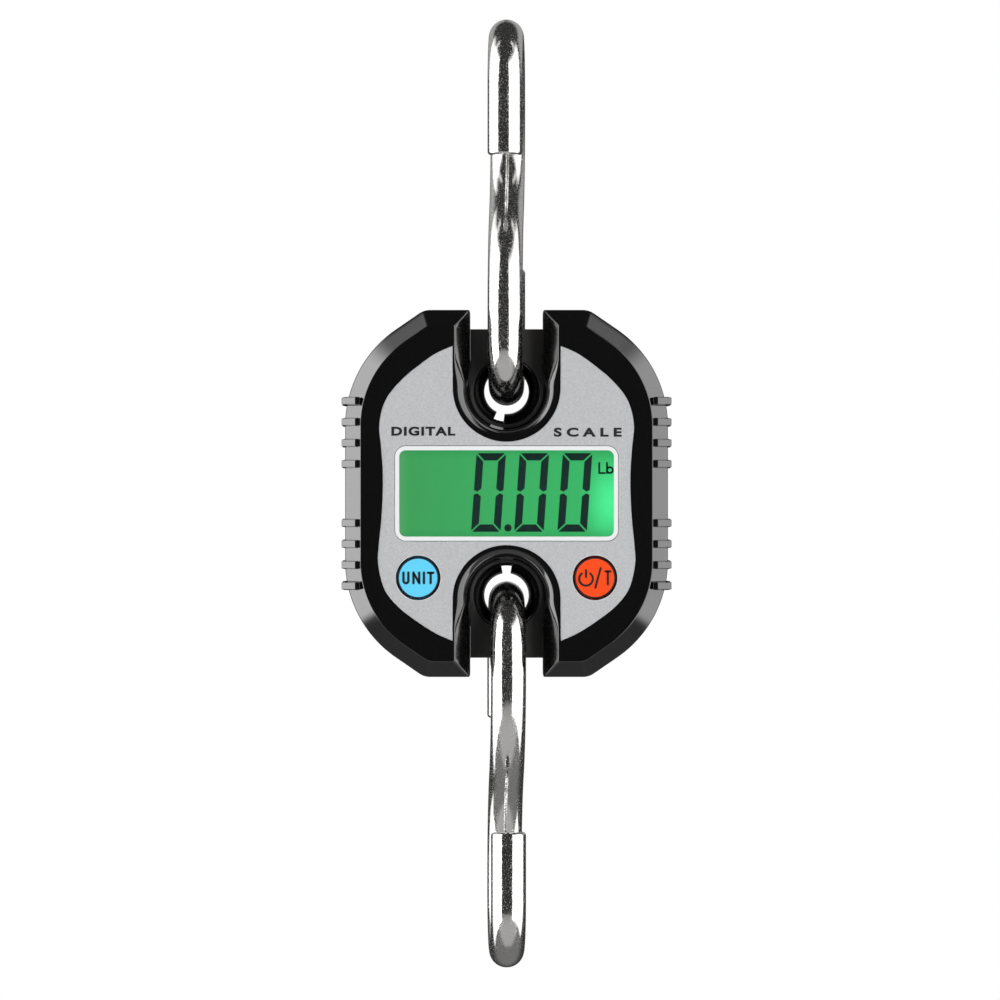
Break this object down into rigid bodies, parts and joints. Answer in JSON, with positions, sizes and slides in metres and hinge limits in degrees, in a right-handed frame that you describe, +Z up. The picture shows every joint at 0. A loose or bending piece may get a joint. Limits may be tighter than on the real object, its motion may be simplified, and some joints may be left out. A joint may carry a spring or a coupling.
{
  "type": "hanging crane scale",
  "caption": "Handheld electronic crane scale: a flat black case with a lit display and two round keys, between two S-hooks that swing in its split bushes.",
  "frame": {"origin": "hang point: the crown of the upper hook's top bend, on its inside, where a bar or sling bears", "axes": "+Z up, -Y towards the reader of the display, +X to the reader's right"},
  "size_m": [0.0828, 0.0358, 0.2391],
  "materials": {
    "black_casing": "glossy moulded ABS, black",
    "bush_plastic": "glossy moulded acetal, black",
    "switch_plunger": "plain moulded",
    "silver_film": "fine silver flake print, satin",
    "clear_window": "clear polished acrylic",
    "lcd_green": "backlit green liquid crystal display with dark segments",
    "white_plastic": "plain moulded",
    "grey_rubber": "striped elastomer",
    "green_board": "solder resist",
    "chip_resin": "cast resin",
    "zinc_plate": "bright zinc plate",
    "cell_steel": "milled",
    "gauge_foil": "foil on amber film",
    "battery_skin": "printed sleeve",
    "stainless_steel": "polished round bar with a fine drawn grain",
    "red_wire": "insulation",
    "black_wire": "insulation",
    "blue_key": "light blue silicone",
    "orange_key": "orange silicone"
  },
  "bodies": {
    "upper_hook": {"upper_hook": "stainless_steel"},
    "upper_bush": {"upper_bush": "bush_plastic"},
    "case": {"front_shell": "black_casing", "rear_shell": "black_casing", "face_plate": "silver_film", "display_lens": "clear_window", "lcd_glass": "lcd_green", "backlight_panel": "white_plastic", "display_frame": "white_plastic", "contact_strip_1": "grey_rubber", "contact_strip_2": "grey_rubber", "circuit_board": "green_board", "controller_chip": "chip_resin", "crystal_can": "zinc_plate", "capacitor_1": "chip_resin", "capacitor_2": "chip_resin", "board_screw_1": "zinc_plate", "board_screw_2": "zinc_plate", "board_screw_3": "zinc_plate", "board_screw_4": "zinc_plate", "unit_switch": "zinc_plate", "power_switch": "zinc_plate", "load_cell": "cell_steel", "strain_gauge_1": "gauge_foil", "strain_gauge_2": "gauge_foil", "strain_gauge_3": "gauge_foil", "strain_gauge_4": "gauge_foil", "cell_screw_1": "zinc_plate", "cell_screw_2": "zinc_plate", "upper_left_gauge_lead": "red_wire", "upper_right_gauge_lead": "red_wire", "lower_left_gauge_lead": "red_wire", "lower_right_gauge_lead": "red_wire", "upper_battery": "battery_skin", "lower_battery": "battery_skin", "upper_spring": "stainless_steel", "lower_spring": "stainless_steel", "bridge_contact": "zinc_plate", "positive_contact": "zinc_plate", "negative_contact": "zinc_plate", "positive_lead": "red_wire", "negative_lead": "black_wire", "case_screw_1": "zinc_plate", "case_screw_2": "zinc_plate", "case_screw_3": "zinc_plate", "case_screw_4": "zinc_plate"},
    "unit_key": {"unit_key": "blue_key", "unit_plunger": "switch_plunger"},
    "power_key": {"power_key": "orange_key", "power_plunger": "switch_plunger"},
    "battery_door": {"battery_door": "black_casing"},
    "lower_bush": {"lower_bush": "bush_plastic"},
    "lower_hook": {"lower_hook": "stainless_steel"}
  },
  "joints": [
    {"name": "upper_hook_tilt", "type": "hinge", "parent": "upper_hook", "child": "upper_bush", "pos_m": [0, 0, -0.0706], "axis": [0.9996, -0.0279, 0], "range_deg": [-60, 60]},
    {"name": "upper_bush_swing", "type": "hinge", "parent": "upper_bush", "child": "case", "pos_m": [0, 0, -0.08495], "axis": [0, 1, 0], "range_deg": [-10, 10]},
    {"name": "unit_key_press", "type": "slide", "parent": "case", "child": "unit_key", "axis": [0, 1, 0], "range_m": [0, 0.0005], "stiffness_N_per_m": 2000},
    {"name": "power_key_press", "type": "slide", "parent": "case", "child": "power_key", "axis": [0, 1, 0], "range_m": [0, 0.0005], "stiffness_N_per_m": 2000},
    {"name": "battery_door_hinge", "type": "hinge", "parent": "case", "child": "battery_door", "pos_m": [0, 0.01485, -0.12275], "axis": [-1, 0, 0], "range_deg": [0, 70]},
    {"name": "lower_bush_swing", "type": "hinge", "parent": "case", "child": "lower_bush", "pos_m": [0, 0, -0.13635], "axis": [0, 1, 0], "range_deg": [-10, 10]},
    {"name": "lower_hook_tilt", "type": "hinge", "parent": "lower_bush", "child": "lower_hook", "pos_m": [0, 0, -0.1507], "axis": [0.9993, 0.0366, 0], "range_deg": [-60, 60]}
  ]
}
